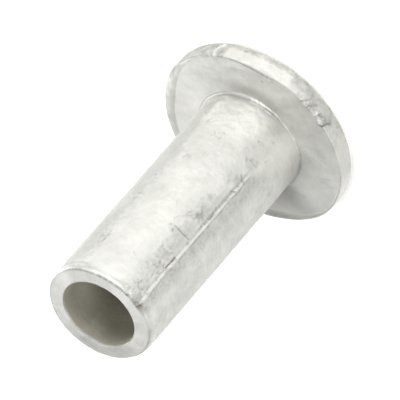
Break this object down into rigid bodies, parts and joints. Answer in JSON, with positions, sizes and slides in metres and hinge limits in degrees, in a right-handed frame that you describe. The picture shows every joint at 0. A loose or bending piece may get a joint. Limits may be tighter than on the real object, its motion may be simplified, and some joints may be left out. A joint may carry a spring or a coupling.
{
  "type": "hollow rivet",
  "caption": "Flat-headed hollow rivet, cold headed from aluminium, with a straight shank and a blind bore in the tail that is rolled over to clamp thin parts.",
  "frame": {"origin": "centre of the flat top of the head, on which the rivet stands", "axes": "+Z along the shank's axis from the head to the open tail; -Y towards the side that the picture shows"},
  "size_m": [0.0091, 0.009, 0.0131],
  "materials": {
    "aluminium": "cold headed and tumbled, satin silver"
  },
  "bodies": {
    "root": {"rivet": "aluminium"}
  },
  "joints": []
}
